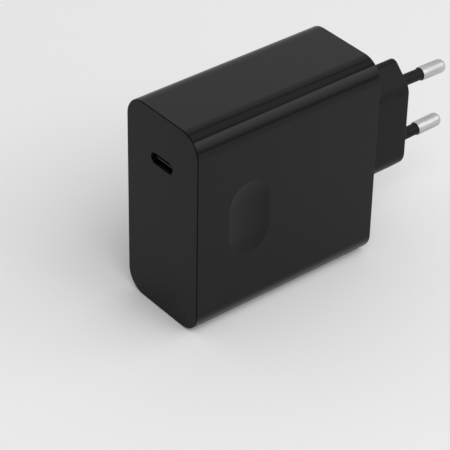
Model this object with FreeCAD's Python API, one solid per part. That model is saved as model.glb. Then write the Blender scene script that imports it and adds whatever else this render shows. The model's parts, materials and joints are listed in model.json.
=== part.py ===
import FreeCAD, Part
import math
import os

# Wall-plug power supply with one USB-C port. Millimetres. X runs from the port end to the pins,
# Y is the body's width and Z is up. The origin is the middle of the lower face, on which it stands.

vector = FreeCAD.Vector
origin = vector(0, 0, 0)
along_x = vector(1, 0, 0)
along_y = vector(0, 1, 0)
along_z = vector(0, 0, 1)

# Body shell
body_length = 60.9
body_width = 29.4
body_height = 61.5
body_corner = 6.4
side_wall = 2.2
rear_wall = 2.2
rear_edge_round = 0.15

# Front cover. Its thin rim lies in front of the shell's mouth, across a fine seam, and its body goes inside.
mouth_lip = 0.6
mouth_edge_round = 0.1
cover_thickness = 2.0
cover_inset = 0.15
cover_rim = 0.15
cover_seam = 0.18
cover_edge_round = 0.07
spigot_depth = 2.4
spigot_wall = 1.2

# Grip dish, one in each long side
dish_width = 13.7
dish_height = 22.8
dish_depth = 0.55
dish_from_front = 17.2

# Plug block: a tall hexagonal prism, straight at the sides and slanted to a blunt point at each end
plug_above_middle = 0.48
plug_depth = 19.0
plug_width = 13.6
plug_flat_height = 23.5
plug_slant_angle = 45.0
plug_side_round = 4.9
plug_point_round = 2.0
plug_end_round = 0.4
plug_wall = 1.6
plug_end_wall = 3.5
flange_reach = 1.5
flange_thickness = 1.8

# Pins, which lean towards each other
pin_radius = 2.0
pin_core_radius = 1.3
pin_root_round = 0.15
pin_length = 19.0
pin_nose_round = 1.45
pin_spacing_root = 18.6
pin_spacing_tip = 17.7
sleeve_length = 10.15
sleeve_radius = 1.66
flare_length = 0.35
shoulder_radius = 2.7
shoulder_thickness = 1.0
rivet_head_radius = 2.0
rivet_head_thickness = 0.6

# Copper strips from the pins to the board, and the insert that backs the pins
strip_thickness = 0.6
strip_width = 4.0
strip_run_y = 3.2
strip_foot_width = 2.0
holder_length = 6.0
holder_window_width = 4.0
holder_window_height = 9.0

# Clearances
fit_gap = 0.1
lean_gap = 0.12
press_gap = 0.02
part_gap = 0.8

# Main board, and the rails that hold its edges
board_thickness = 1.2
board_corner = 1.0
solder_side_room = 3.3
board_end_gap = 0.3
board_edge_gap = 0.3
rail_height = 1.5
rail_width = 1.2

# Leads of the parts on the board
lead_radius = 0.3
lead_hole_gap = 0.15
lead_tail = 0.6
lead_root = 0.5

# USB-C receptacle, on a small board of its own
port_from_top = 14.25
port_opening_width = 8.34
port_opening_height = 2.56
port_metal = 0.3
port_length = 7.35
port_sunk = 0.4
port_back_length = 1.8
tongue_width = 6.69
tongue_thickness = 0.7
tongue_sunk = 0.4
contact_count = 12
contact_pitch = 0.5
contact_width = 0.25
contact_length = 3.6
contact_thickness = 0.06
port_board_length = 18.0
port_board_thickness = 1.0
port_board_side_gap = 0.4
tab_length = 3.0
tab_from_end = 1.5
port_chip_size = 4.0
port_chip_height = 0.8
port_switch_size = 3.3
port_switch_height = 0.9

# Mains input parts
moulding_round = 0.5
fuse_width = 8.4
fuse_thickness = 4.2
fuse_height = 7.6
fuse_lead_spacing = 6.4
varistor_diameter = 10.0
varistor_thickness = 3.6
varistor_lead_spacing = 5.0
suppressor_width = 13.0
suppressor_thickness = 7.0
suppressor_height = 12.5
suppressor_lead_spacing = 10.0
choke_core_outer = 14.0
choke_core_inner = 7.6
choke_core_height = 6.0
choke_wire = 1.0
choke_gap_angle = 30.0
choke_base_thickness = 1.0
choke_divider_thickness = 0.8
choke_lead_spacing = 7.0

# Rectified side
can_diameter = 16.0
can_length = 25.0
can_groove_depth = 0.5
can_groove_width = 1.4
can_groove_from_end = 2.4
can_lead_reach = 1.4
can_lead_radius = 0.4
can_lead_spacing = 7.5
drum_diameter = 8.0
drum_height = 9.5
drum_waist = 4.4
drum_flange = 1.2
drum_lead_spacing = 4.0
small_can_diameter = 5.0
small_can_height = 11.0
small_can_lead_spacing = 2.5

# Transformer
transformer_width = 14.0
transformer_length = 21.0
transformer_plate = 3.0
transformer_leg = 1.9
transformer_post = 8.8
window_height = 8.4
core_lift = 2.2
bobbin_wall = 0.6
bobbin_gap = 0.15
bobbin_bar_width = 2.0
bobbin_lift = 0.3
winding_build = 2.7
tape_thickness = 0.25
transformer_pin_count = 5
transformer_pin_pitch = 4.0

# Output side
polymer_diameter = 8.0
polymer_height = 12.0
polymer_count = 3
polymer_lead_spacing = 4.0
disc_diameter = 7.5
disc_thickness = 3.5
disc_lead_spacing = 3.75
coupler_length = 6.5
coupler_width = 4.6
coupler_height = 2.1

# Chips behind the main board, and what carries their heat away
chip_height = 1.5
bridge_length = 9.0
bridge_width = 8.0
switch_size = 8.0
controller_length = 6.0
controller_width = 5.0
rectifier_length = 6.0
rectifier_width = 5.0
sheet_thickness = 0.25
sheet_margin = 1.2
plate_thickness = 0.8
plate_end_gap = 1.5
pad_margin = 0.5

# Planes of the casing
front_x = -body_length / 2
rear_x = body_length / 2
rim_back_x = front_x + cover_rim
mouth_x = rim_back_x + cover_seam
middle_z = body_height / 2
inner_front_x = front_x + cover_thickness
inner_rear_x = rear_x - rear_wall
inner_side_y = body_width / 2 - side_wall
plug_middle_z = middle_z + plug_above_middle
plug_end_x = rear_x + plug_depth
plug_inner_end_x = plug_end_x - plug_end_wall
flange_front_x = inner_rear_x - flange_thickness

# Planes of the main board
board_back_y = inner_side_y - solder_side_room
board_face_y = board_back_y - board_thickness
board_front_x = inner_front_x + spigot_depth + board_end_gap
board_rear_x = flange_front_x - board_end_gap
board_low_z = side_wall + board_edge_gap
board_high_z = body_height - board_low_z
clear_low_z = side_wall + rail_height + fit_gap
clear_high_z = body_height - clear_low_z

# Stations along each pin, counted from the plug block's end face
pin_lean = math.degrees(math.asin((pin_spacing_root - pin_spacing_tip) / 2 / pin_length))
shoulder_front = -plug_end_wall - lean_gap
shoulder_back = shoulder_front - shoulder_thickness
strip_back = shoulder_back - lean_gap
rivet_head_front = strip_back - strip_thickness - lean_gap
flare_start = sleeve_length - flare_length
flare_radius = pin_radius - pin_root_round
strip_face_x = plug_end_x + strip_back
holder_back_x = plug_end_x + rivet_head_front - rivet_head_thickness - lean_gap
holder_front_x = holder_back_x - holder_length

# Planes of the port and its board
port_middle_z = body_height - port_from_top
port_mouth_x = front_x + port_sunk
port_end_x = port_mouth_x + port_length
port_back_x = port_end_x - port_back_length
port_board_top_z = port_middle_z - port_opening_height / 2 - port_metal
port_board_low_z = port_board_top_z - port_board_thickness
port_board_front_x = inner_front_x + board_end_gap
port_board_rear_x = port_board_front_x + port_board_length
port_part_x = (port_end_x + port_board_rear_x) / 2
tab_starts_x = (board_front_x + tab_from_end, port_board_rear_x - tab_from_end - tab_length)

# Places on the mains side, counted from the board's rear edge
strip_foot_x = board_rear_x - part_gap - strip_thickness
fuse_x = strip_foot_x + strip_thickness - fuse_thickness / 2
suppressor_x = fuse_x - fuse_thickness / 2 - part_gap - suppressor_thickness / 2
drum_x = suppressor_x - suppressor_thickness / 2 - part_gap - drum_diameter / 2
drum_z = plug_middle_z + part_gap
choke_radius = choke_core_outer / 2 + choke_wire
choke_x = strip_foot_x - choke_radius
choke_z = clear_low_z + choke_radius
varistor_x = board_rear_x - varistor_thickness / 2
varistor_z = clear_high_z - part_gap - varistor_diameter / 2
can_end_x = board_rear_x - varistor_thickness - part_gap
can_z = clear_high_z - can_diameter / 2

# Places on the output side, counted from the board's front edge
polymer_x = board_front_x + part_gap + polymer_diameter / 2
polymer_low_z = clear_low_z + part_gap + polymer_diameter / 2
polymer_step = polymer_diameter + part_gap
rectifier_z = polymer_low_z + (polymer_count - 0.5) * polymer_step + rectifier_width / 2
bobbin_half_width = transformer_width / 2 + bobbin_gap + bobbin_bar_width
transformer_x = polymer_x + polymer_diameter / 2 + part_gap + bobbin_half_width
small_row_width = max(small_can_diameter, disc_thickness)
small_row_z = clear_low_z + small_row_width / 2
transformer_z = small_row_z + small_row_width / 2 + part_gap + transformer_length / 2
disc_x = transformer_x - disc_diameter / 2
small_can_x = transformer_x + small_can_diameter
coupler_z = transformer_z + transformer_length / 2 + part_gap + coupler_width / 2

# Heights above the main board's face
choke_core_low = choke_base_thickness + choke_wire
choke_core_high = choke_core_low + choke_core_height
choke_top = choke_core_high + choke_wire
core_window_low = core_lift + transformer_plate
core_window_high = core_window_low + window_height
core_top = core_window_high + transformer_plate
bobbin_low = core_window_low + bobbin_gap
bobbin_high = core_window_high - bobbin_gap
bobbin_inner_radius = transformer_post / 2 + bobbin_gap
winding_inner_radius = bobbin_inner_radius + bobbin_wall
winding_outer_radius = winding_inner_radius + winding_build
winding_low = bobbin_low + bobbin_wall
winding_high = bobbin_high - bobbin_wall

# Layers behind the main board
plate_low_y = inner_side_y - fit_gap - plate_thickness
sheet_low_y = plate_low_y - sheet_thickness
pad_thickness = sheet_low_y - board_back_y - chip_height

lead_places = []


def box(x0, x1, y0, y1, z0, z1):
    return Part.makeBox(x1 - x0, y1 - y0, z1 - z0, vector(x0, y0, z0))


# A block centred on the origin in X and Y, from one height to another
def block(length, width, low, high):
    return box(-length / 2, length / 2, -width / 2, width / 2, low, high)


def disc(radius, low, high):
    return Part.makeCylinder(radius, high - low, vector(0, 0, low), along_z)


def ring(outer_radius, inner_radius, low, high):
    return disc(outer_radius, low, high).cut(disc(inner_radius, low, high))


def rod(radius, x0, x1, height=0):
    return Part.makeCylinder(radius, x1 - x0, vector(x0, 0, height), along_x)


def join(shapes):
    whole = shapes[0]
    for other in shapes[1:]:
        whole = whole.fuse(other)
    return whole.removeSplitter()


def moved(shape, x, y, z):
    placed = shape.copy()
    placed.translate(vector(x, y, z))
    return placed


# Edges that lie in the plane at one x
def edges_at(shape, x):
    return [e for e in shape.Edges if abs(e.BoundBox.XMin - x) < 1e-4 and abs(e.BoundBox.XMax - x) < 1e-4]


def round_edges(shape, edges, radius=moulding_round):
    return shape.makeFillet(radius, edges)


def circles_of(shape):
    return [e for e in shape.Edges if e.Curve.TypeId == "Part::GeomCircle"]


# A bar along X. Each corner is given as (y, z, radius of its rounding).
def bar(corners, x0, x1):
    count = len(corners)
    points = [vector(x0, y, z) for y, z, radius in corners]
    arcs = []
    ends = []
    for i in range(count):
        corner = points[i]
        radius = corners[i][2]
        back = points[i - 1].sub(corner).normalize()
        ahead = points[(i + 1) % count].sub(corner).normalize()
        half_angle = back.getAngle(ahead) / 2
        reach = radius / math.tan(half_angle)
        inward = back.add(ahead).normalize()
        middle = corner.add(vector(inward).multiply(radius / math.sin(half_angle) - radius))
        arrive = corner.add(vector(back).multiply(reach))
        leave = corner.add(vector(ahead).multiply(reach))
        arcs.append(Part.Arc(arrive, middle, leave).toShape())
        ends.append((arrive, leave))
    edges = []
    for i in range(count):
        edges.append(arcs[i])
        leave = ends[i][1]
        arrive = ends[(i + 1) % count][0]
        if leave.distanceToPoint(arrive) > 1e-4:
            edges.append(Part.LineSegment(leave, arrive).toShape())
    return Part.Face(Part.Wire(edges)).extrude(vector(x1 - x0, 0, 0))


def rounded_bar(width, height, radius, x0, x1, bar_middle_z):
    low = bar_middle_z - height / 2
    high = bar_middle_z + height / 2
    sides = ((-width / 2, low), (width / 2, low), (width / 2, high), (-width / 2, high))
    return bar([(y, z, radius) for y, z in sides], x0, x1)


# The body's outline, drawn in by an inset
def body_bar(inset, x0, x1):
    width = body_width - 2 * inset
    height = body_height - 2 * inset
    return rounded_bar(width, height, body_corner - inset, x0, x1, middle_z)


# The plug block's outline, drawn in by an inset. A sharper corner than the wall is thick stays sharp.
def plug_bar(inset, x0, x1):
    slant = math.radians(plug_slant_angle)
    side_y = plug_width / 2 - inset
    side_z = plug_flat_height / 2 - inset * math.tan(slant / 2)
    point_z = side_z + side_y / math.tan(slant)
    side_round = max(plug_side_round - inset, fit_gap)
    point_round = max(plug_point_round - inset, fit_gap)
    upper = [(side_y, side_z, side_round), (0, point_z, point_round), (-side_y, side_z, side_round)]
    corners = upper + [(-y, -z, radius) for y, z, radius in upper]
    return bar([(y, z + plug_middle_z, radius) for y, z, radius in corners], x0, x1)


# The receptacle's outline, a flat bar with round ends, grown by a margin
def port_bar(margin, x0, x1):
    width = port_opening_width + 2 * margin
    height = port_opening_height + 2 * margin
    return rounded_bar(width, height, height / 2, x0, x1, port_middle_z)


# A part drawn upright is turned to stand on the main board's face and moved to its place
def on_board(shape, x, z):
    placed = shape.copy()
    placed.rotate(origin, along_x, 90)
    return moved(placed, x, board_face_y, z)


def behind_board(shape, x, z):
    placed = shape.copy()
    placed.rotate(origin, along_x, -90)
    return moved(placed, x, board_back_y, z)


# Leads through the board. Their places are kept, so that the board gets a hole for each.
def leads(x, z, offsets, radius=lead_radius, top=lead_root):
    made = []
    for dx, dz in offsets:
        lead_places.append((x + dx, z + dz, radius))
        made.append(on_board(disc(radius, -board_thickness - lead_tail, top), x + dx, z + dz))
    return made


def across(spacing):
    return [(0, -spacing / 2), (0, spacing / 2)]


def along(spacing):
    return [(-spacing / 2, 0), (spacing / 2, 0)]


# A part drawn along X from the block's end face is moved to a pin's root and leaned inwards
def at_pin(shape, side):
    root_z = plug_middle_z + side * pin_spacing_root / 2
    placed = moved(shape, plug_end_x, 0, root_z)
    placed.rotate(vector(plug_end_x, 0, root_z), along_y, side * pin_lean)
    return placed


# The height of a pin's axis at one x
def pin_z(x, side):
    drop = (x - plug_end_x) * math.tan(math.radians(pin_lean))
    return plug_middle_z + side * (pin_spacing_root / 2 - drop)


# A long rounded bar that dips into the side by the dish's depth
def grip_dish(side):
    radius = ((dish_width / 2) ** 2 + dish_depth ** 2) / (2 * dish_depth)
    straight = dish_height - dish_width
    x = front_x + dish_from_front
    y = side * (body_width / 2 - dish_depth + radius)
    low = plug_middle_z - straight / 2
    high = plug_middle_z + straight / 2
    trunk = Part.makeCylinder(radius, straight, vector(x, y, low), along_z)
    ends = [Part.makeSphere(radius, vector(x, y, z)) for z in (low, high)]
    return join([trunk] + ends)


# A pair of rails on the floor and on the roof, each rooted in the wall, with the board between them
def board_rails():
    root = side_wall / 2
    top = side_wall + rail_height
    rails = []
    for low, high in ((root, top), (body_height - top, body_height - root)):
        for y in (board_face_y - fit_gap - rail_width, board_back_y + fit_gap):
            rails.append(box(board_front_x, inner_rear_x, y, y + rail_width, low, high))
    return rails


def make_shell():
    outside = body_bar(0, mouth_x, rear_x)
    outside = round_edges(outside, edges_at(outside, rear_x), rear_edge_round)
    outside = round_edges(outside, edges_at(outside, mouth_x), mouth_edge_round)
    shell = outside.cut(body_bar(side_wall, inner_front_x, inner_rear_x))
    shell = shell.cut(body_bar(mouth_lip, mouth_x, inner_front_x))
    shell = join([shell] + board_rails())
    shell = shell.cut(plug_bar(-fit_gap, inner_rear_x, rear_x))
    for side in (-1, 1):
        shell = shell.cut(grip_dish(side))
    return shell


def make_front_cover():
    rim = body_bar(cover_inset, front_x, rim_back_x)
    rim = round_edges(rim, edges_at(rim, front_x), min(cover_edge_round, cover_rim / 2))
    body = body_bar(mouth_lip + fit_gap, front_x, inner_front_x)
    spigot_end_x = inner_front_x + spigot_depth
    spigot = body_bar(side_wall + fit_gap, inner_front_x, spigot_end_x)
    spigot = spigot.cut(body_bar(side_wall + fit_gap + spigot_wall, inner_front_x, spigot_end_x))
    cover = join([rim, body, spigot])
    return cover.cut(port_bar(port_metal + fit_gap, front_x, inner_front_x))


def make_plug_block():
    trunk = plug_bar(0, flange_front_x, plug_end_x)
    trunk = round_edges(trunk, edges_at(trunk, plug_end_x), plug_end_round)
    flange = plug_bar(-flange_reach, flange_front_x, inner_rear_x)
    plug_block = join([trunk, flange]).cut(plug_bar(plug_wall, flange_front_x, plug_inner_end_x))
    for side in (-1, 1):
        hole = rod(sleeve_radius + press_gap, -plug_end_wall - plug_end_round, plug_end_round)
        plug_block = plug_block.cut(at_pin(hole, side))
    return plug_block


def make_pin(side):
    tip = rod(pin_radius, sleeve_length, pin_length)
    tip = round_edges(tip, edges_at(tip, pin_length), pin_nose_round)
    tip = round_edges(tip, edges_at(tip, sleeve_length), pin_root_round)
    core = rod(pin_core_radius, rivet_head_front, sleeve_length)
    shoulder = rod(shoulder_radius, shoulder_back, shoulder_front)
    head = rod(rivet_head_radius, rivet_head_front - rivet_head_thickness, rivet_head_front)
    return at_pin(join([tip, core, shoulder, head]), side)


def make_sleeve(side):
    body = rod(sleeve_radius, -plug_end_wall, flare_start)
    flare = Part.makeCone(sleeve_radius, flare_radius, flare_length, vector(flare_start, 0, 0), along_x)
    bore = rod(pin_core_radius, -plug_end_wall, sleeve_length)
    return at_pin(join([body, flare]).cut(bore), side)


def make_contact_strip(side):
    middle = pin_z(strip_face_x, side)
    low = middle - strip_width / 2
    high = middle + strip_width / 2
    far_y = strip_run_y + strip_thickness
    foot_end_x = strip_foot_x + strip_thickness
    near_y = -strip_width / 2 - strip_thickness
    tab = box(strip_face_x - strip_thickness, strip_face_x, near_y, far_y, low, high)
    run = box(strip_foot_x, strip_face_x, strip_run_y, far_y, low, high)
    drop = box(strip_foot_x, foot_end_x, strip_run_y, board_face_y, low, high)
    foot = box(strip_foot_x, foot_end_x, far_y, board_back_y + lead_tail,
               middle - strip_foot_width / 2, middle + strip_foot_width / 2)
    hole = rod(pin_core_radius + lean_gap, strip_back - 2 * strip_thickness, strip_back + lean_gap)
    return join([tab, run, drop, foot]).cut(at_pin(hole, side))


def make_contact_holder():
    holder = plug_bar(plug_wall + fit_gap, holder_front_x, holder_back_x)
    window = rounded_bar(holder_window_width, holder_window_height, moulding_round,
                         holder_front_x, holder_back_x, plug_middle_z)
    holder = holder.cut(window)
    reach = strip_width / 2 + fit_gap
    for side in (-1, 1):
        middle = pin_z(strip_face_x, side)
        slot = box(holder_front_x, holder_back_x, strip_run_y - fit_gap,
                   strip_run_y + strip_thickness + fit_gap, middle - reach, middle + reach)
        holder = holder.cut(slot)
    return holder


def make_port_board():
    far_y = -inner_side_y + fit_gap + spigot_wall + port_board_side_gap
    tab_y = board_back_y + lead_tail
    low = port_board_low_z
    high = port_board_top_z
    plate = box(port_board_front_x, port_board_rear_x, far_y, board_face_y, low, high)
    tabs = [box(x, x + tab_length, board_face_y, tab_y, low, high) for x in tab_starts_x]
    return join([plate] + tabs)


def make_main_board():
    board = box(board_front_x, board_rear_x, board_face_y, board_back_y, board_low_z, board_high_z)
    upright = [e for e in board.Edges if e.BoundBox.YLength > board_thickness / 2]
    board = round_edges(board, upright, board_corner)
    holes = []
    for x in tab_starts_x:
        holes.append(box(x - fit_gap, x + tab_length + fit_gap, board_face_y, board_back_y,
                         port_board_low_z - fit_gap, port_board_top_z + fit_gap))
    reach = strip_foot_width / 2 + fit_gap
    for side in (-1, 1):
        middle = pin_z(strip_face_x, side)
        holes.append(box(strip_foot_x - fit_gap, strip_foot_x + strip_thickness + fit_gap,
                         board_face_y, board_back_y, middle - reach, middle + reach))
    for x, z, radius in lead_places:
        start = vector(x, board_face_y, z)
        holes.append(Part.makeCylinder(radius + lead_hole_gap, board_thickness, start, along_y))
    return board.cut(Part.makeCompound(holes))


def make_port_shell():
    return port_bar(port_metal, port_mouth_x, port_end_x).cut(port_bar(0, port_mouth_x, port_end_x))


def make_port_tongue():
    back = port_bar(-press_gap, port_back_x, port_end_x)
    tongue = box(port_mouth_x + tongue_sunk, port_back_x, -tongue_width / 2, tongue_width / 2,
                 port_middle_z - tongue_thickness / 2, port_middle_z + tongue_thickness / 2)
    return join([back, tongue])


def make_port_contacts():
    strips = []
    first_y = -(contact_count - 1) / 2 * contact_pitch
    upper = port_middle_z + tongue_thickness / 2
    lower = port_middle_z - tongue_thickness / 2 - contact_thickness
    for low in (lower, upper):
        for i in range(contact_count):
            y = first_y + i * contact_pitch
            strips.append(box(port_back_x - contact_length, port_back_x, y - contact_width / 2,
                              y + contact_width / 2, low, low + contact_thickness))
    return Part.makeCompound(strips)


def make_port_chip():
    return moved(block(port_chip_size, port_chip_size, 0, port_chip_height), port_part_x, 0, port_board_top_z)


def make_port_switch():
    chip = block(port_switch_size, port_switch_size, -port_switch_height, 0)
    return moved(chip, port_part_x, 0, port_board_low_z)


# A moulded case: a block whose edges are rounded, but for those of its foot
def moulded_case(length, width, height):
    case = block(length, width, 0, height)
    return round_edges(case, [e for e in case.Edges if e.BoundBox.ZMax > height / 2])


# A dipped disc that stands on its rim, with its axis along X and its leads along Z
def dipped_disc(diameter, thickness):
    body = rod(diameter / 2, -thickness / 2, thickness / 2, diameter / 2 + moulding_round)
    return round_edges(body, circles_of(body))


def make_fuse():
    case = on_board(moulded_case(fuse_thickness, fuse_width, fuse_height), fuse_x, plug_middle_z)
    return join([case] + leads(fuse_x, plug_middle_z, across(fuse_lead_spacing)))


def make_varistor():
    body = on_board(dipped_disc(varistor_diameter, varistor_thickness), varistor_x, varistor_z)
    top = varistor_diameter / 4 + moulding_round
    return join([body] + leads(varistor_x, varistor_z, across(varistor_lead_spacing), top=top))


def make_suppression_capacitor():
    case = moulded_case(suppressor_thickness, suppressor_width, suppressor_height)
    pins = leads(suppressor_x, plug_middle_z, across(suppressor_lead_spacing))
    return join([on_board(case, suppressor_x, plug_middle_z)] + pins)


def make_choke_core():
    core = ring(choke_core_outer / 2, choke_core_inner / 2, choke_core_low, choke_core_high)
    return on_board(core, choke_x, choke_z)


# One coil each side of the divider, with its two leads
def make_choke_windings():
    whole = ring(choke_radius, choke_core_inner / 2 - choke_wire, choke_base_thickness, choke_top)
    whole = whole.cut(ring(choke_core_outer / 2, choke_core_inner / 2, choke_core_low, choke_core_high))
    coils = []
    for side in (-1, 1):
        wedge = Part.makeCylinder(2 * choke_radius, choke_top, origin, along_z, 180 - choke_gap_angle)
        wedge.rotate(origin, along_z, choke_gap_angle / 2 + 90 * (1 - side))
        coil = on_board(whole.common(wedge), choke_x, choke_z)
        row = side * (choke_radius - choke_wire)
        places = [(dx, row) for dx, dz in along(choke_lead_spacing)]
        coils.append(join([coil] + leads(choke_x, choke_z, places, top=choke_core_low)))
    return Part.makeCompound(coils)


def make_choke_base():
    opening = choke_core_inner / 2 - choke_wire
    divider = block(2 * opening, choke_divider_thickness, 0, choke_top)
    divider = divider.common(disc(opening, 0, choke_top))
    base = join([block(2 * choke_radius, 2 * choke_radius, 0, choke_base_thickness), divider])
    for dx, dz in along(choke_lead_spacing):
        for side in (-1, 1):
            hole = disc(lead_radius + lead_hole_gap, 0, choke_base_thickness)
            base = base.cut(moved(hole, dx, side * (choke_radius - choke_wire), 0))
    return on_board(base, choke_x, choke_z)


# An electrolytic can that lies on the board, with a rolled groove and its leads bent down
def make_bulk_capacitor():
    radius = can_diameter / 2
    lift = radius + press_gap
    can = rod(radius, -can_length, 0, lift)
    can = round_edges(can, circles_of(can))
    groove_start = -can_length + can_groove_from_end
    groove_end = groove_start + can_groove_width
    groove = rod(radius + can_groove_depth, groove_start, groove_end, lift)
    groove = groove.cut(rod(radius - can_groove_depth, groove_start, groove_end, lift))
    pieces = [on_board(can.cut(groove), can_end_x, can_z)]
    bend_x = can_end_x - can_length - can_lead_reach
    for dx, dz in across(can_lead_spacing):
        straight = rod(can_lead_radius, -can_lead_radius, can_lead_reach + lead_root, lift)
        pieces.append(on_board(straight, bend_x, can_z + dz))
    return join(pieces + leads(bend_x, can_z, across(can_lead_spacing), can_lead_radius, lift))


def make_filter_inductor():
    lower = disc(drum_diameter / 2, 0, drum_flange)
    waist = disc(drum_waist / 2, 0, drum_height)
    upper = disc(drum_diameter / 2, drum_height - drum_flange, drum_height)
    drum = on_board(join([lower, waist, upper]), drum_x, drum_z)
    return join([drum] + leads(drum_x, drum_z, along(drum_lead_spacing)))


def make_filter_winding():
    outer_radius = drum_diameter / 2 - moulding_round
    coil = ring(outer_radius, drum_waist / 2, drum_flange, drum_height - drum_flange)
    return on_board(coil, drum_x, drum_z)


def upright_can(diameter, height, spacing, x, z):
    can = disc(diameter / 2, 0, height)
    can = round_edges(can, [e for e in can.Edges if e.BoundBox.ZMin > height / 2])
    return join([on_board(can, x, z)] + leads(x, z, across(spacing)))


def make_supply_capacitor():
    return upright_can(small_can_diameter, small_can_height, small_can_lead_spacing, small_can_x, small_row_z)


def make_output_capacitors():
    cans = []
    for i in range(polymer_count):
        z = polymer_low_z + i * polymer_step
        cans.append(upright_can(polymer_diameter, polymer_height, polymer_lead_spacing, polymer_x, z))
    return Part.makeCompound(cans)


def make_safety_capacitor():
    body = dipped_disc(disc_diameter, disc_thickness)
    body.rotate(origin, along_z, 90)
    top = disc_diameter / 4 + moulding_round
    pins = leads(disc_x, small_row_z, along(disc_lead_spacing), top=top)
    return join([on_board(body, disc_x, small_row_z)] + pins)


def make_optocoupler():
    return on_board(block(coupler_length, coupler_width, 0, coupler_height), transformer_x, coupler_z)


# Two glued halves: a plate each, with outer legs and half of the middle post
def make_transformer_core():
    inner_length = transformer_length - 2 * transformer_leg
    frame = block(transformer_width, transformer_length, core_lift, core_top)
    frame = frame.cut(block(transformer_width, inner_length, core_window_low, core_window_high))
    core = join([frame, disc(transformer_post / 2, core_window_low, core_window_high)])
    parting = (core_window_low + core_window_high) / 2
    halves = []
    for low, high in ((core_lift, parting), (parting, core_top)):
        half = core.common(block(transformer_width, transformer_length, low, high))
        halves.append(on_board(half, transformer_x, transformer_z))
    return Part.makeCompound(halves)


# A spool round the post. Its lower flange reaches out past the core to the two bars that hold the pins.
def make_transformer_bobbin():
    length = transformer_length - 2 * transformer_leg - 2 * bobbin_gap
    pieces = [
        block(2 * bobbin_half_width, length, bobbin_low, winding_low),
        block(transformer_width, length, winding_high, bobbin_high),
        disc(winding_inner_radius, bobbin_low, bobbin_high),
    ]
    for side in (-1, 1):
        pin_bar = block(bobbin_bar_width, length, bobbin_lift, winding_low)
        pieces.append(moved(pin_bar, side * (bobbin_half_width - bobbin_bar_width / 2), 0, 0))
    bobbin = join(pieces).cut(disc(bobbin_inner_radius, bobbin_low, bobbin_high))
    return on_board(bobbin, transformer_x, transformer_z)


def make_transformer_winding():
    coil = ring(winding_outer_radius, winding_inner_radius, winding_low, winding_high)
    return on_board(coil, transformer_x, transformer_z)


def make_transformer_tape():
    wrap = ring(winding_outer_radius + tape_thickness, winding_outer_radius, winding_low, winding_high)
    return on_board(wrap, transformer_x, transformer_z)


def make_transformer_pins():
    row_x = bobbin_half_width - bobbin_bar_width / 2
    first = -(transformer_pin_count - 1) / 2 * transformer_pin_pitch
    rows = [first + i * transformer_pin_pitch for i in range(transformer_pin_count)]
    places = [(side * row_x, dz) for side in (-1, 1) for dz in rows]
    return Part.makeCompound(leads(transformer_x, transformer_z, places, top=bobbin_lift))


# Chips behind the board: length, width and place of each
back_chips = {
    "bridge_rectifier": (bridge_length, bridge_width, can_end_x - can_length / 3, can_z),
    "power_switch": (switch_size, switch_size, choke_x, choke_z),
    "controller_chip": (controller_length, controller_width, transformer_x, coupler_z),
    "output_rectifier": (rectifier_length, rectifier_width, polymer_x, rectifier_z),
}
hot_chips = ("bridge_rectifier", "power_switch", "output_rectifier")


def make_back_chip(name):
    length, width, x, z = back_chips[name]
    return behind_board(block(length, width, 0, chip_height), x, z)


def make_thermal_pads():
    pads = []
    for name in hot_chips:
        length, width, x, z = back_chips[name]
        pad = block(length - 2 * pad_margin, width - 2 * pad_margin, chip_height, chip_height + pad_thickness)
        pads.append(behind_board(pad, x, z))
    return Part.makeCompound(pads)


def make_heat_plate():
    return box(board_front_x + plate_end_gap, board_rear_x - plate_end_gap,
               plate_low_y, plate_low_y + plate_thickness, body_corner, body_height - body_corner)


def make_insulating_sheet():
    end_gap = plate_end_gap - sheet_margin
    edge = body_corner - sheet_margin
    return box(board_front_x + end_gap, board_rear_x - end_gap, sheet_low_y, plate_low_y,
               edge, body_height - edge)


# A soft pad that fills the room between the transformer and the far side wall
def make_cushion_pad():
    wall_height = board_face_y + inner_side_y - press_gap
    width = transformer_width - 2 * pad_margin
    length = transformer_length - 2 * pad_margin
    pad = block(width, length, core_top, wall_height)
    return on_board(pad, transformer_x, transformer_z)


makers = {
    "shell": make_shell,
    "front_cover": make_front_cover,
    "plug_block": make_plug_block,
    "pin_live": lambda: make_pin(1),
    "pin_neutral": lambda: make_pin(-1),
    "sleeve_live": lambda: make_sleeve(1),
    "sleeve_neutral": lambda: make_sleeve(-1),
    "contact_strip_live": lambda: make_contact_strip(1),
    "contact_strip_neutral": lambda: make_contact_strip(-1),
    "contact_holder": make_contact_holder,
    "port_shell": make_port_shell,
    "port_tongue": make_port_tongue,
    "port_contacts": make_port_contacts,
    "port_board": make_port_board,
    "port_chip": make_port_chip,
    "port_switch": make_port_switch,
    "fuse": make_fuse,
    "varistor": make_varistor,
    "suppression_capacitor": make_suppression_capacitor,
    "choke_core": make_choke_core,
    "choke_windings": make_choke_windings,
    "choke_base": make_choke_base,
    "bulk_capacitor": make_bulk_capacitor,
    "filter_inductor": make_filter_inductor,
    "filter_winding": make_filter_winding,
    "supply_capacitor": make_supply_capacitor,
    "output_capacitors": make_output_capacitors,
    "safety_capacitor": make_safety_capacitor,
    "optocoupler": make_optocoupler,
    "transformer_core": make_transformer_core,
    "transformer_bobbin": make_transformer_bobbin,
    "transformer_winding": make_transformer_winding,
    "transformer_tape": make_transformer_tape,
    "transformer_pins": make_transformer_pins,
    "bridge_rectifier": lambda: make_back_chip("bridge_rectifier"),
    "power_switch": lambda: make_back_chip("power_switch"),
    "controller_chip": lambda: make_back_chip("controller_chip"),
    "output_rectifier": lambda: make_back_chip("output_rectifier"),
    "thermal_pads": make_thermal_pads,
    "heat_plate": make_heat_plate,
    "insulating_sheet": make_insulating_sheet,
    "cushion_pad": make_cushion_pad,
    "main_board": make_main_board,
}

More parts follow.
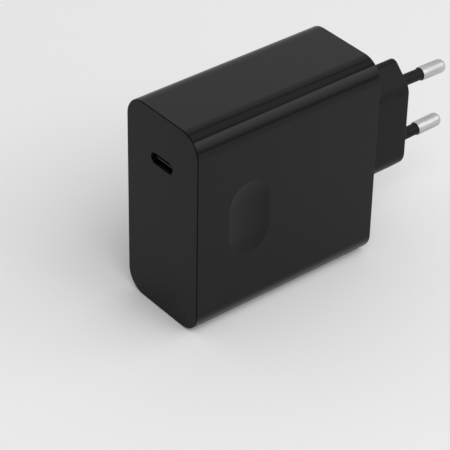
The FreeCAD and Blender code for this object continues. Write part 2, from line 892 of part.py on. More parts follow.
os.makedirs("parts", exist_ok=True)
for name, make in makers.items():
    shape = make()
    shape.exportStep("parts/" + name + ".step")
    print(name, "solids", len(shape.Solids), "valid", shape.isValid(), "volume", round(shape.Volume, 2))
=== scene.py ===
import json
import math

import bmesh
import bpy
from mathutils import Matrix, Vector


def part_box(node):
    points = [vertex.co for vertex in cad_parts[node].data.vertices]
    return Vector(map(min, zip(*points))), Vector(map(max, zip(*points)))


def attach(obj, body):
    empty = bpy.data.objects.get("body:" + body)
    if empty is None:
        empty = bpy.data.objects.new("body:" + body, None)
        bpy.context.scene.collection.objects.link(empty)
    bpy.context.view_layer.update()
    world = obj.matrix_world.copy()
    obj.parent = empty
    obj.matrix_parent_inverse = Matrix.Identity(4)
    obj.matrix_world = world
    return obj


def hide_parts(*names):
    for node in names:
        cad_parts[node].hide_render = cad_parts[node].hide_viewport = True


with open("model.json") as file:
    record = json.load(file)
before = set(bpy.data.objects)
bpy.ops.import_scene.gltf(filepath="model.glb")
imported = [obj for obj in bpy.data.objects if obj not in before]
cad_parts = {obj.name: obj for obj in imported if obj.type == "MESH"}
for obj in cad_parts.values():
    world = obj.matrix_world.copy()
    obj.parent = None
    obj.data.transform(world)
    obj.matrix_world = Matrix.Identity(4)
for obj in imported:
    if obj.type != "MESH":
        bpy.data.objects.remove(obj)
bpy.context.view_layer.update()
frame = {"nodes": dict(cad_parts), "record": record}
cadNodes = frame["nodes"]
scene = bpy.context.scene
millimetre = 0.001


def addNode(tree, kind, inputs=None, **settings):
    # inputs go by socket name or number, and a socket as a value makes a link
    node = tree.nodes.new(kind)
    for name, value in settings.items():
        setattr(node, name, value)
    for name, value in (inputs or {}).items():
        if isinstance(value, bpy.types.NodeSocket):
            tree.links.new(value, node.inputs[name])
        else:
            node.inputs[name].default_value = value
    return node


def mathNode(tree, operation, *values):
    return addNode(tree, "ShaderNodeMath", dict(enumerate(values)), operation=operation).outputs[0]


def mixColours(tree, share, first, second):
    inputs = {0: share, 6: first, 7: second}
    return addNode(tree, "ShaderNodeMix", inputs, data_type="RGBA").outputs[2]


def spread(tree, value, low, high, fromLow=0.3, fromHigh=0.7):
    # brings a value to a range of its own; a noise value mostly stays between 0.3 and 0.7
    inputs = {"Value": value, "From Min": fromLow, "From Max": fromHigh, "To Min": low, "To Max": high}
    return addNode(tree, "ShaderNodeMapRange", inputs).outputs[0]


def noiseOn(tree, place, scale, detail=2.0, roughness=0.5):
    inputs = {"Vector": place, "Scale": scale, "Detail": detail, "Roughness": roughness}
    return addNode(tree, "ShaderNodeTexNoise", inputs).outputs["Fac"]


def noiseAlong(tree, place, scales, detail=2.0, roughness=0.5):
    # noise with its own scale for each axis, drawn out along the smallest
    longWay = addNode(tree, "ShaderNodeMapping", {"Vector": place, "Scale": scales}).outputs[0]
    return noiseOn(tree, longWay, 1.0, detail, roughness)


def colourOf(rgb):
    return (*rgb, 1.0)


def newFinish(name):
    finish = bpy.data.materials.new(name)
    finish.use_nodes = True
    tree = finish.node_tree
    shader = tree.nodes["Principled BSDF"]
    place = addNode(tree, "ShaderNodeTexCoord").outputs["Object"]
    return finish, tree, shader, place


def tintedBase(tree, shader, share, values):
    colour = mixColours(tree, spread(tree, share, 0.0, 1.0), colourOf(values["colour"]),
                        colourOf(values["colourShift"]))
    tree.links.new(colour, shader.inputs["Base Color"])


def shiftedRoughness(tree, share, values, *shareRange):
    low, high = (values["roughness"] + sign * values["roughnessShift"] for sign in (-1, 1))
    return spread(tree, share, low, high, *shareRange)


def raised(tree, shader, height):
    # height in metres
    bump = addNode(tree, "ShaderNodeBump", {"Height": height, "Strength": 1.0, "Distance": 1.0})
    tree.links.new(bump.outputs[0], shader.inputs["Normal"])


def mouldedFinish(name, values):
    # plastic, rubber, lacquer or ceramic: a fine grain, and a slow change of tone and gloss
    finish, tree, shader, place = newFinish(name)
    slow = noiseOn(tree, place, values["patchScale"], detail=3.0)
    tintedBase(tree, shader, slow, values)
    rough = shiftedRoughness(tree, slow, values)
    if "scuffs" in values:
        along, across = (noiseAlong(tree, place, scales, detail=1.0) for scales in values["scuffScales"])
        scuff = mathNode(tree, "MAXIMUM", along, across)
        scuff = spread(tree, scuff, 0.0, values["scuffs"], *values["scuffRange"])
        rough = mathNode(tree, "ADD", rough, scuff)
    if "edgeSoftness" in values:
        # seen almost edge-on, the fine waves of a moulded skin break up what it mirrors
        facing = addNode(tree, "ShaderNodeLayerWeight", {"Blend": 0.5}).outputs["Facing"]
        soft = spread(tree, facing, 0.0, values["edgeSoftness"], *values["edgeRange"])
        rough = mathNode(tree, "ADD", rough, soft)
    tree.links.new(rough, shader.inputs["Roughness"])
    grain = noiseOn(tree, place, values["grainScale"], roughness=0.6)
    height = mathNode(tree, "MULTIPLY", grain, values["grainDepth"])
    if "rippleDepth" in values:
        wave = noiseOn(tree, place, values["rippleScale"], detail=1.0)
        height = mathNode(tree, "ADD", height, mathNode(tree, "MULTIPLY", wave, values["rippleDepth"]))
    raised(tree, shader, height)
    shader.inputs["IOR"].default_value = plasticIor
    shader.inputs["Specular IOR Level"].default_value = values.get("specular", 0.5)
    return finish


def metalFinish(name, values):
    # bare or plated metal: worked lines along one direction, with a slow change of tone
    finish, tree, shader, place = newFinish(name)
    slow = noiseAlong(tree, place, values["patchScale"], detail=3.0)
    lines = noiseAlong(tree, place, values["lineScale"], detail=3.0, roughness=0.6)
    tintedBase(tree, shader, slow, values)
    tree.links.new(shiftedRoughness(tree, lines, values), shader.inputs["Roughness"])
    raised(tree, shader, mathNode(tree, "MULTIPLY", lines, values["lineDepth"]))
    shader.inputs["Metallic"].default_value = 1.0
    return finish


def boardFinish(values):
    # green lacquer over raised copper tracks, which run along X and across it
    finish, tree, shader, place = newFinish("circuit_board")
    parts = addNode(tree, "ShaderNodeSeparateXYZ", {0: place}).outputs
    rise = mathNode(tree, "ADD", parts["Y"], parts["Z"])
    pitch, width = values["trackPitch"], values["trackWidth"]

    def tracks(across, scales):
        near = mathNode(tree, "PINGPONG", across, pitch / 2)
        line = spread(tree, near, 1.0, 0.0, width / 2, width / 2 + values["trackEdge"])
        patches = noiseAlong(tree, place, scales, detail=0.0)
        laid = mathNode(tree, "GREATER_THAN", patches, values["trackLevel"])
        return mathNode(tree, "MULTIPLY", line, laid)

    along, across = values["trackScales"]
    track = mathNode(tree, "MAXIMUM", tracks(rise, (along, across, across)),
                     tracks(parts["X"], (across, along, along)))
    slow = spread(tree, noiseOn(tree, place, values["patchScale"], detail=3.0), 0.0, 1.0)
    lacquer = mixColours(tree, slow, colourOf(values["colour"]), colourOf(values["colourShift"]))
    colour = mixColours(tree, track, lacquer, colourOf(values["trackColour"]))
    tree.links.new(colour, shader.inputs["Base Color"])
    tree.links.new(shiftedRoughness(tree, slow, values, 0.0, 1.0), shader.inputs["Roughness"])
    grain = mathNode(tree, "MULTIPLY", noiseOn(tree, place, values["grainScale"]), values["grainDepth"])
    trackRise = mathNode(tree, "MULTIPLY", track, values["trackHeight"])
    raised(tree, shader, mathNode(tree, "ADD", grain, trackRise))
    return finish


# lengths are in metres, and noise scales are in waves per metre
plasticIor = 1.46
boardValues = dict(colour=(0.018, 0.125, 0.06), colourShift=(0.026, 0.165, 0.08), roughness=0.3,
                   roughnessShift=0.05, patchScale=300, grainScale=2500, grainDepth=5e-6,
                   trackColour=(0.07, 0.26, 0.11), trackPitch=0.0015, trackWidth=0.0006, trackEdge=3e-5,
                   trackHeight=3e-5, trackScales=(60, 780), trackLevel=0.55)
casingFinishes = {
    "shell": dict(colour=(0.0014, 0.0014, 0.0015), colourShift=(0.002, 0.002, 0.0021), roughness=0.055,
                  roughnessShift=0.012, patchScale=60, grainScale=2600, grainDepth=2e-7, rippleScale=110,
                  rippleDepth=5e-6, scuffs=0.05, scuffScales=((9000, 260, 260), (300, 300, 8000)),
                  scuffRange=(0.66, 0.8), specular=0.245, edgeSoftness=0.4, edgeRange=(0.58, 0.9)),
    "front_cover": dict(colour=(0.0032, 0.0032, 0.0034), colourShift=(0.004, 0.004, 0.0042), roughness=0.29,
                        roughnessShift=0.03, patchScale=90, grainScale=3800, grainDepth=7e-6, specular=0.12),
    "plug_block": dict(colour=(0.0068, 0.0068, 0.0071), colourShift=(0.0082, 0.0082, 0.0085), roughness=0.46,
                       roughnessShift=0.04, patchScale=90, grainScale=3400, grainDepth=1.2e-5, specular=0.14),
    "pin_sleeves": dict(colour=(0.0042, 0.0042, 0.0044), colourShift=(0.0054, 0.0054, 0.0057), roughness=0.5,
                        roughnessShift=0.05, patchScale=150, grainScale=4200, grainDepth=8e-6, specular=0.18),
}
plainFinishes = {
    "port_plastic": dict(colour=(0.0016, 0.0016, 0.0017), colourShift=(0.0024, 0.0024, 0.0025),
                         roughness=0.5, roughnessShift=0.05, patchScale=300, grainScale=5000,
                         grainDepth=5e-6, specular=0.06),
    "nylon": dict(colour=(0.8, 0.78, 0.72), colourShift=(0.72, 0.7, 0.63), roughness=0.5, roughnessShift=0.06,
                  patchScale=120, grainScale=3000, grainDepth=8e-6),
    "chip": dict(colour=(0.02, 0.02, 0.022), colourShift=(0.032, 0.032, 0.034), roughness=0.6,
                 roughnessShift=0.06, patchScale=300, grainScale=7000, grainDepth=8e-6),
    "fuse_case": dict(colour=(0.05, 0.05, 0.055), colourShift=(0.07, 0.07, 0.075), roughness=0.5,
                      roughnessShift=0.05, patchScale=200, grainScale=4000, grainDepth=8e-6),
    "varistor_coat": dict(colour=(0.04, 0.13, 0.38), colourShift=(0.06, 0.18, 0.46), roughness=0.32,
                          roughnessShift=0.06, patchScale=300, grainScale=1500, grainDepth=3e-5),
    "suppressor_case": dict(colour=(0.78, 0.64, 0.12), colourShift=(0.7, 0.57, 0.1), roughness=0.35,
                            roughnessShift=0.06, patchScale=150, grainScale=2500, grainDepth=8e-6),
    "ferrite": dict(colour=(0.075, 0.075, 0.08), colourShift=(0.105, 0.105, 0.108), roughness=0.55,
                    roughnessShift=0.1, patchScale=500, grainScale=6000, grainDepth=2e-5),
    "winding_wire": dict(colour=(0.62, 0.26, 0.1), colourShift=(0.5, 0.2, 0.07), roughness=0.22,
                         roughnessShift=0.05, patchScale=200, grainScale=2000, grainDepth=3e-6),
    "phenolic": dict(colour=(0.04, 0.036, 0.032), colourShift=(0.058, 0.052, 0.046), roughness=0.5,
                     roughnessShift=0.06, patchScale=250, grainScale=3500, grainDepth=1e-5),
    "can_sleeve": dict(colour=(0.025, 0.045, 0.13), colourShift=(0.035, 0.06, 0.16), roughness=0.3,
                       roughnessShift=0.05, patchScale=120, grainScale=1500, grainDepth=5e-6),
    "disc_coat": dict(colour=(0.05, 0.22, 0.48), colourShift=(0.07, 0.28, 0.56), roughness=0.35,
                      roughnessShift=0.06, patchScale=300, grainScale=1500, grainDepth=3e-5),
    "coupler_case": dict(colour=(0.85, 0.85, 0.83), colourShift=(0.78, 0.78, 0.75), roughness=0.5,
                         roughnessShift=0.05, patchScale=250, grainScale=5000, grainDepth=8e-6),
    "polyester_tape": dict(colour=(0.86, 0.68, 0.1), colourShift=(0.78, 0.58, 0.07), roughness=0.25,
                           roughnessShift=0.06, patchScale=160, grainScale=900, grainDepth=1.2e-5),
    "pad_rubber": dict(colour=(0.5, 0.58, 0.66), colourShift=(0.44, 0.52, 0.6), roughness=0.75,
                       roughnessShift=0.08, patchScale=150, grainScale=2500, grainDepth=2e-5),
    "sheet_film": dict(colour=(0.09, 0.09, 0.09), colourShift=(0.11, 0.11, 0.11), roughness=0.28,
                       roughnessShift=0.05, patchScale=80, grainScale=1500, grainDepth=5e-6),
    "foam_pad": dict(colour=(0.74, 0.74, 0.76), colourShift=(0.66, 0.66, 0.68), roughness=0.85,
                     roughnessShift=0.05, patchScale=400, grainScale=2200, grainDepth=6e-5),
}
metalFinishes = {
    "pins": dict(colour=(0.595, 0.595, 0.595), colourShift=(0.455, 0.455, 0.455), roughness=0.46,
                 roughnessShift=0.05, patchScale=(160, 1300, 1300), lineScale=(260, 7000, 7000),
                 lineDepth=1.2e-6),
    "copper_strip": dict(colour=(0.8, 0.47, 0.32), colourShift=(0.68, 0.38, 0.25), roughness=0.32,
                         roughnessShift=0.08, patchScale=(200,) * 3, lineScale=(300, 6000, 300),
                         lineDepth=2e-6),
    # painted shade: the port's metal shell is given a near-black colour, much darker than bare steel, so the
    # recess of the port stays dark
    "port_steel": dict(colour=(0.014, 0.014, 0.0145), colourShift=(0.01, 0.01, 0.0104), roughness=0.45,
                       roughnessShift=0.07, patchScale=(300,) * 3, lineScale=(300, 6000, 6000),
                       lineDepth=1.5e-6),
    "tongue_plate": dict(colour=(0.2, 0.2, 0.205), colourShift=(0.14, 0.14, 0.145), roughness=0.4,
                         roughnessShift=0.06, patchScale=(900,) * 3, lineScale=(900, 9000, 9000),
                         lineDepth=1e-6),
    "gold_contacts": dict(colour=(0.9, 0.68, 0.32), colourShift=(0.84, 0.6, 0.26), roughness=0.2,
                          roughnessShift=0.05, patchScale=(500,) * 3, lineScale=(500, 8000, 8000),
                          lineDepth=6e-7),
    "polymer_can": dict(colour=(0.77, 0.77, 0.79), colourShift=(0.7, 0.7, 0.72), roughness=0.3,
                        roughnessShift=0.07, patchScale=(200,) * 3, lineScale=(400, 6000, 400),
                        lineDepth=2e-6),
    "tinned_pins": dict(colour=(0.7, 0.7, 0.69), colourShift=(0.6, 0.6, 0.59), roughness=0.35,
                        roughnessShift=0.1, patchScale=(800,) * 3, lineScale=(900, 900, 900),
                        lineDepth=8e-6),
    "heat_plate": dict(colour=(0.75, 0.75, 0.77), colourShift=(0.68, 0.68, 0.7), roughness=0.34,
                       roughnessShift=0.08, patchScale=(120,) * 3, lineScale=(250, 5000, 9000),
                       lineDepth=2e-6),
}
moulded = {**casingFinishes, **plainFinishes}
finishes = {name: mouldedFinish(name, values) for name, values in moulded.items()}
finishes.update({name: metalFinish(name, values) for name, values in metalFinishes.items()})
finishes["circuit_board"] = boardFinish(boardValues)
print("finishes made:", len(finishes))

slotOfNode = {s["node"]: s["material_slot"] for s in frame["record"]["subparts"]}
for nodeName, piece in cadNodes.items():
    piece.data.materials.clear()
    piece.data.materials.append(finishes[slotOfNode[nodeName]])
print("CAD nodes dressed:", len(cadNodes))


def newForm(name, inputs):
    # a geometry tree with named inputs; its lengths are millimetres
    tree = bpy.data.node_groups.new(name, "GeometryNodeTree")
    tree.interface.new_socket("Geometry", in_out="INPUT", socket_type="NodeSocketGeometry")
    for label, value in inputs.items():
        kind = "NodeSocketInt" if isinstance(value, int) else "NodeSocketFloat"
        tree.interface.new_socket(label, in_out="INPUT", socket_type=kind).default_value = value
    tree.interface.new_socket("Geometry", in_out="OUTPUT", socket_type="NodeSocketGeometry")
    start = tree.nodes.new("NodeGroupInput").outputs
    end = tree.nodes.new("NodeGroupOutput").inputs[0]
    return tree, start, end


def geometryNode(tree, kind, inputs=None, **settings):
    return addNode(tree, "GeometryNode" + kind, inputs, **settings).outputs[0]


def joined(tree, *parts):
    node = tree.nodes.new("GeometryNodeJoinGeometry")
    for part in parts:
        tree.links.new(part, node.inputs[0])
    return node.outputs[0]


def carved(tree, operation, body, *tools):
    node = addNode(tree, "GeometryNodeMeshBoolean", operation=operation, solver="EXACT")
    if operation == "DIFFERENCE":
        tree.links.new(body, node.inputs["Mesh 1"])
    else:
        tools = (body, *tools)
    for tool in tools:
        tree.links.new(tool, node.inputs["Mesh 2"])
    return node.outputs[0]


def vectorOf(tree, x=0.0, y=0.0, z=0.0):
    return addNode(tree, "ShaderNodeCombineXYZ", {0: x, 1: y, 2: z}).outputs[0]


weldDistance = 0.0005  # millimetres, as all lengths inside the trees


def barAlongX(tree, outline, start, end, middle):
    # fills an outline drawn in the XY plane, stands it up across X and draws it out from start to end
    turned = geometryNode(tree, "Transform", {
        "Geometry": geometryNode(tree, "FillCurve", {"Curve": outline}, mode="NGONS"),
        "Translation": vectorOf(tree, start, 0.0, middle), "Rotation": (math.pi / 2, 0, math.pi / 2)})
    run = vectorOf(tree, mathNode(tree, "SUBTRACT", end, start))
    pull = {"Mesh": turned, "Offset": run, "Individual": False}
    drawn = geometryNode(tree, "ExtrudeMesh", pull, mode="FACES")
    both = joined(tree, geometryNode(tree, "FlipFaces", {"Mesh": turned}), drawn)
    return geometryNode(tree, "MergeByDistance", {"Geometry": both, "Distance": weldDistance})


def roundedBar(tree, width, height, corner, steps, start, end, middle):
    square = geometryNode(tree, "CurvePrimitiveQuadrilateral", {"Width": width, "Height": height})
    rounding = {"Curve": square, "Count": steps, "Radius": corner}
    outline = geometryNode(tree, "FilletCurve", rounding, mode="POLY")
    return barAlongX(tree, outline, start, end, middle)


def newPiece(name, data):
    piece = bpy.data.objects.new(name, data)
    scene.collection.objects.link(piece)
    return piece


def applied(piece):
    # turns what the modifiers give into the piece's own mesh, and takes them off
    mesh = bpy.data.meshes.new_from_object(piece.evaluated_get(bpy.context.evaluated_depsgraph_get()))
    piece.modifiers.clear()
    piece.data = mesh
    return mesh


def grown(name, tree, values, finish, baseMesh=None):
    # runs the tree once; the result is a plain mesh object, in metres
    piece = newPiece(name, baseMesh or bpy.data.meshes.new(name + "Base"))
    form = piece.modifiers.new("form", "NODES")
    form.node_group = tree
    for item in tree.interface.items_tree:
        if item.in_out == "INPUT" and item.name in values:
            form[item.identifier] = values[item.name]
    mesh = applied(piece)
    mesh.name = name
    mesh.materials.clear()
    mesh.materials.append(finish)
    return piece


def endForm(tree, end, geometry, finish):
    # every tree ends alike: real geometry, its finish, and from millimetres to metres
    real = geometryNode(tree, "RealizeInstances", {"Geometry": geometry})
    dressed = geometryNode(tree, "SetMaterial", {"Geometry": real, "Material": finish})
    scaled = geometryNode(tree, "Transform", {"Geometry": dressed, "Scale": (millimetre,) * 3})
    tree.links.new(scaled, end)


def settle(piece, name, kind, **settings):
    # one finishing modifier, applied at once
    modifier = piece.modifiers.new(name, kind)
    for key, value in settings.items():
        setattr(modifier, key, value)
    applied(piece)


def closedMesh(name, form):
    # the bmesh's result with its faces turned outwards
    bmesh.ops.recalc_face_normals(form, faces=form.faces[:])
    mesh = bpy.data.meshes.new(name)
    form.to_mesh(mesh)
    form.free()
    return mesh


def boxOf(nodeName):
    return [[c / millimetre for c in corner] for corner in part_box(nodeName)]


def smoothBelow(piece, degrees):
    mesh = piece.data
    mesh.polygons.foreach_set("use_smooth", [True] * len(mesh.polygons))
    mesh.set_sharp_from_angle(angle=math.radians(degrees))


def keep(piece, slotName, *nodes):
    # the piece rides on the one body and stands for these CAD nodes
    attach(piece, "root")
    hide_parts(*nodes)


# glossy shell: a rounded bar, hollowed from the front, with a grip dish in each long side
shellForm = {
    "Length": 60.9, "Width": 29.4, "Height": 61.5, "Corner": 6.4, "Wall": 2.2, "Steps": 24,
    "Lip": 0.6, "Cover Depth": 2.0, "Mouth Gap": 0.26,
    "Plug Half Width": 6.9, "Plug Flat": 11.791, "Plug Point": 18.691, "Plug Middle": 31.23,
    "Side Round": 5.0, "Point Round": 2.1,
    "Rail Width": 1.2, "Rail Top": 3.7, "Rail Face": 7.3, "Rail Back": 9.9, "Rail Front": -25.75,
}
dish = {"width": 13.7, "height": 22.8, "depth": 0.55, "x": -13.25, "z": 31.23, "rings": 18,
        "ringsPastRim": 4, "arcSteps": 40}
edgeRounds = {"rear": 0.08, "mouth": 0.08}
shellMesh = {"roundSegments": 5, "smoothAngle": 25, "planeTolerance": 0.001, "outlineTolerance": 0.01}
cutterOverrun = 1.0  # how far a cutter reaches past the wall that it opens


def dishTools(values, bodyWidth):
    # two lens-shaped cutters: a shallow arc swept round the middle line of a pill
    half, depth = values["width"] / 2, values["depth"]
    radius = (half ** 2 + depth ** 2) / (2 * depth)
    straight = (values["height"] - values["width"]) / 2
    turns = [math.pi * k / values["arcSteps"] for k in range(values["arcSteps"] + 1)]
    directions = [(math.cos(t), math.sin(t), straight) for t in turns]
    directions += [(-math.cos(t), -math.sin(t), -straight) for t in turns]
    form = bmesh.new()
    for side in (-1, 1):
        loops = []
        for ring in range(1, values["rings"] + values["ringsPastRim"] + 1):
            reach = half * ring / values["rings"]
            y = side * (bodyWidth / 2 - depth + radius - math.sqrt(radius ** 2 - reach ** 2))
            loops.append([form.verts.new((values["x"] + c * reach, y, values["z"] + s * reach + shift))
                          for c, s, shift in directions])
        for inner, outer in zip(loops, loops[1:]):
            for k in range(len(inner)):
                form.faces.new((inner[k - 1], inner[k], outer[k], outer[k - 1]))
        form.faces.new(loops[0])
        form.faces.new(loops[-1])
    return closedMesh("dishTools", form)


def eitherOf(tree, choice, no, yes):
    # no where the choice is 0, yes where it is 1
    return mathNode(tree, "ADD", no, mathNode(tree, "MULTIPLY", choice, mathNode(tree, "SUBTRACT", yes, no)))


def hexagonOutline(tree, given, steps):
    # six corners on a circle, pulled to the plug's own corners and rounded
    pointLevel, axisWidth = 0.9, 0.01  # each tells the two points from the four side corners
    circle = geometryNode(tree, "MeshCircle", {"Vertices": 6, "Radius": 1.0})
    standing = geometryNode(tree, "Transform", {"Geometry": circle, "Rotation": (0, 0, math.pi / 6)})
    place = addNode(tree, "GeometryNodeInputPosition").outputs[0]
    x, y, _ = addNode(tree, "ShaderNodeSeparateXYZ", {0: place}).outputs
    isPoint = mathNode(tree, "GREATER_THAN", mathNode(tree, "ABSOLUTE", y), pointLevel)
    across = mathNode(tree, "MULTIPLY", mathNode(tree, "DIVIDE", x, math.cos(math.pi / 6)),
                      given["Plug Half Width"])
    reach = eitherOf(tree, isPoint, given["Plug Flat"], given["Plug Point"])
    up = mathNode(tree, "MULTIPLY", mathNode(tree, "SIGN", y), reach)
    curve = geometryNode(tree, "MeshToCurve", {"Mesh": standing})
    corners = {"Geometry": curve, "Position": vectorOf(tree, across, up)}
    pulled = geometryNode(tree, "SetPosition", corners)
    onAxis = mathNode(tree, "LESS_THAN", mathNode(tree, "ABSOLUTE", x), axisWidth)
    rounding = {"Curve": pulled, "Count": steps,
                "Radius": eitherOf(tree, onAxis, given["Side Round"], given["Point Round"])}
    return geometryNode(tree, "FilletCurve", rounding, mode="POLY")


def shellTree(values, finish):
    tree, given, end = newForm("shellForm", values)
    halfLength = mathNode(tree, "MULTIPLY", given["Length"], 0.5)
    front = mathNode(tree, "MULTIPLY", halfLength, -1.0)
    middle = mathNode(tree, "MULTIPLY", given["Height"], 0.5)
    steps = given["Steps"]

    def bodyBar(inset, start, finishAt):
        twice = mathNode(tree, "MULTIPLY", inset, 2.0)
        return roundedBar(tree, mathNode(tree, "SUBTRACT", given["Width"], twice),
                          mathNode(tree, "SUBTRACT", given["Height"], twice),
                          mathNode(tree, "SUBTRACT", given["Corner"], inset), steps, start, finishAt, middle)

    coverBack = mathNode(tree, "ADD", front, given["Cover Depth"])
    mouthFront = mathNode(tree, "ADD", front, given["Mouth Gap"])
    rearInside = mathNode(tree, "SUBTRACT", halfLength, given["Wall"])
    outside = bodyBar(0.0, mouthFront, halfLength)
    mouth = bodyBar(given["Lip"], mathNode(tree, "SUBTRACT", front, cutterOverrun), coverBack)
    hollow = bodyBar(given["Wall"], mathNode(tree, "SUBTRACT", coverBack, cutterOverrun), rearInside)
    plugHole = barAlongX(tree, hexagonOutline(tree, given, steps),
                         mathNode(tree, "SUBTRACT", rearInside, cutterOverrun),
                         mathNode(tree, "ADD", halfLength, cutterOverrun), given["Plug Middle"])
    # four rails for the board's edges, two on the floor and two under the roof
    root = mathNode(tree, "MULTIPLY", given["Wall"], 0.5)
    railHeight = mathNode(tree, "SUBTRACT", given["Rail Top"], root)
    railEnd = mathNode(tree, "ADD", rearInside, root)
    railLength = mathNode(tree, "SUBTRACT", railEnd, given["Rail Front"])
    railSize = vectorOf(tree, railLength, given["Rail Width"], railHeight)
    rail = geometryNode(tree, "MeshCube", {"Size": railSize})
    railX = mathNode(tree, "ADD", given["Rail Front"], mathNode(tree, "MULTIPLY", railLength, 0.5))
    railLow = mathNode(tree, "ADD", root, mathNode(tree, "MULTIPLY", railHeight, 0.5))
    railHigh = mathNode(tree, "SUBTRACT", given["Height"], railLow)
    rails = []
    for y in (given["Rail Face"], given["Rail Back"]):
        for z in (railLow, railHigh):
            place = vectorOf(tree, railX, y, z)
            rails.append(geometryNode(tree, "Transform", {"Geometry": rail, "Translation": place}))
    cut = carved(tree, "DIFFERENCE", outside, joined(tree, mouth, hollow), plugHole, given["Geometry"])
    whole = carved(tree, "UNION", cut, *rails)
    endForm(tree, end, whole, finish)
    return tree


def markRounds(piece, values, rounds):
    # bevel weights on the outer edges of the rear face and the mouth
    mesh = piece.data
    weights = mesh.attributes.new("bevel_weight_edge", "FLOAT", "EDGE")
    halfLength, middle = values["Length"] / 2, values["Height"] / 2
    straightY, straightZ = values["Width"] / 2 - values["Corner"], middle - values["Corner"]

    def offOutline(point):
        y, z = abs(point.y) - straightY, abs(point.z - middle) - straightZ
        return abs(math.hypot(max(y, 0), max(z, 0)) + min(max(y, z), 0) - values["Corner"])

    for edge in mesh.edges:
        ends = [mesh.vertices[i].co / millimetre for i in edge.vertices]
        if any(offOutline(point) >= shellMesh["outlineTolerance"] for point in ends):
            continue
        for x, name in ((halfLength, "rear"), (values["Mouth Gap"] - halfLength, "mouth")):
            if all(abs(point.x - x) < shellMesh["planeTolerance"] for point in ends):
                weights.data[edge.index].value = rounds[name] / max(rounds.values())


def makeShell():
    finish = finishes["shell"]
    cutters = dishTools(dish, shellForm["Width"])
    piece = grown("shellCasing", shellTree(shellForm, finish), shellForm, finish, cutters)
    markRounds(piece, shellForm, edgeRounds)
    settle(piece, "rounds", "BEVEL", width=max(edgeRounds.values()) * millimetre,
           segments=shellMesh["roundSegments"], limit_method="WEIGHT", use_clamp_overlap=False)
    smoothBelow(piece, shellMesh["smoothAngle"])
    settle(piece, "shading", "WEIGHTED_NORMAL", keep_sharp=True)
    keep(piece, "shell", "shell")
    print("shell faces:", len(piece.data.polygons))


makeShell()


# coils: one wire laid turn by turn along a barrel, and back over itself in the next layer
boardFace = 8.0  # the parts stand on this plane, along -Y
coils = {
    "filterCoil": {"Layers": 2, "Turns": 10, "Steps": 24, "Sides": 8, "Wire": 0.64, "Inner Radius": 2.2,
                   "Low": 1.22, "High": 8.28, "Place X": 8.55, "Place Z": 32.03},
    "transformerCoil": {"Layers": 6, "Turns": 14, "Steps": 24, "Sides": 8, "Wire": 0.44,
                        "Inner Radius": 5.16, "Low": 5.96, "High": 12.84, "Place X": -7.0, "Place Z": 20.1},
}
chokeCoil = {"Turns": 8, "Steps": 28, "Sides": 8, "Wire": 0.96, "Core Outer": 7.0, "Core Inner": 3.8,
             "Core Low": 2.0, "Core High": 8.0, "Squareness": 0.36, "Start Turn": 0.25, "Turn Angle": 17.71,
             "Middle Angle": 90.0, "Lead Sides": 12, "Lead Spacing": 7.0, "Lead Row": 7.0, "Lead Radius": 0.3,
             "Lead Low": -1.8, "Place X": 16.75, "Place Z": 11.8}
coilSmoothAngle = 60


def wireAlong(tree, curve, radius, sides):
    circle = {"Resolution": sides, "Radius": radius}
    outline = geometryNode(tree, "CurvePrimitiveCircle", circle, mode="RADIUS")
    return geometryNode(tree, "CurveToMesh", {"Curve": curve, "Profile Curve": outline, "Fill Caps": True})


def placedPoints(tree, count, x, y, z):
    # a chain of points, each put in its place by its number
    line = geometryNode(tree, "MeshLine", {"Count": count, "Offset": (0.001, 0, 0)}, mode="OFFSET")
    chain = geometryNode(tree, "SetPosition", {"Geometry": line, "Position": vectorOf(tree, x, y, z)})
    return geometryNode(tree, "MeshToCurve", {"Mesh": chain})


def circledPoints(tree, count, radius, angle, rise):
    return placedPoints(tree, count, mathNode(tree, "MULTIPLY", radius, mathNode(tree, "COSINE", angle)),
                        mathNode(tree, "MULTIPLY", radius, mathNode(tree, "SINE", angle)), rise)


def finishCoil(name, nodeName, tree, end, given, values, mesh):
    # turns the upright coil to stand on the board's face, and makes the piece
    finish = finishes["winding_wire"]
    place = vectorOf(tree, given["Place X"], boardFace, given["Place Z"])
    standing = geometryNode(tree, "Transform", {"Geometry": mesh, "Translation": place,
                                                "Rotation": (math.pi / 2, 0, 0)})
    endForm(tree, end, standing, finish)
    piece = grown(name, tree, values, finish)
    smoothBelow(piece, coilSmoothAngle)
    keep(piece, "winding_wire", nodeName)
    print(name, "faces:", len(piece.data.polygons))


def makeCoil(name, nodeName):
    values = coils[name]
    tree, given, end = newForm(name, values)
    number = addNode(tree, "GeometryNodeInputIndex").outputs[0]
    turned = mathNode(tree, "DIVIDE", number, given["Steps"])
    layer = mathNode(tree, "FLOOR", mathNode(tree, "DIVIDE", turned, given["Turns"]))
    radius = mathNode(tree, "ADD", given["Inner Radius"],
                      mathNode(tree, "MULTIPLY", mathNode(tree, "ADD", layer, 0.5), given["Wire"]))
    angle = mathNode(tree, "MULTIPLY", turned, math.tau)
    share = mathNode(tree, "DIVIDE", mathNode(tree, "PINGPONG", turned, given["Turns"]), given["Turns"])
    room = mathNode(tree, "SUBTRACT", mathNode(tree, "SUBTRACT", given["High"], given["Low"]), given["Wire"])
    rise = mathNode(tree, "ADD", mathNode(tree, "MULTIPLY", share, room),
                    mathNode(tree, "ADD", given["Low"], mathNode(tree, "MULTIPLY", given["Wire"], 0.5)))
    turns = mathNode(tree, "MULTIPLY", given["Turns"], given["Layers"])
    path = circledPoints(tree, mathNode(tree, "MULTIPLY", turns, given["Steps"]), radius, angle, rise)
    wire = wireAlong(tree, path, mathNode(tree, "MULTIPLY", given["Wire"], 0.5), given["Sides"])
    finishCoil(name, nodeName, tree, end, given, values, wire)


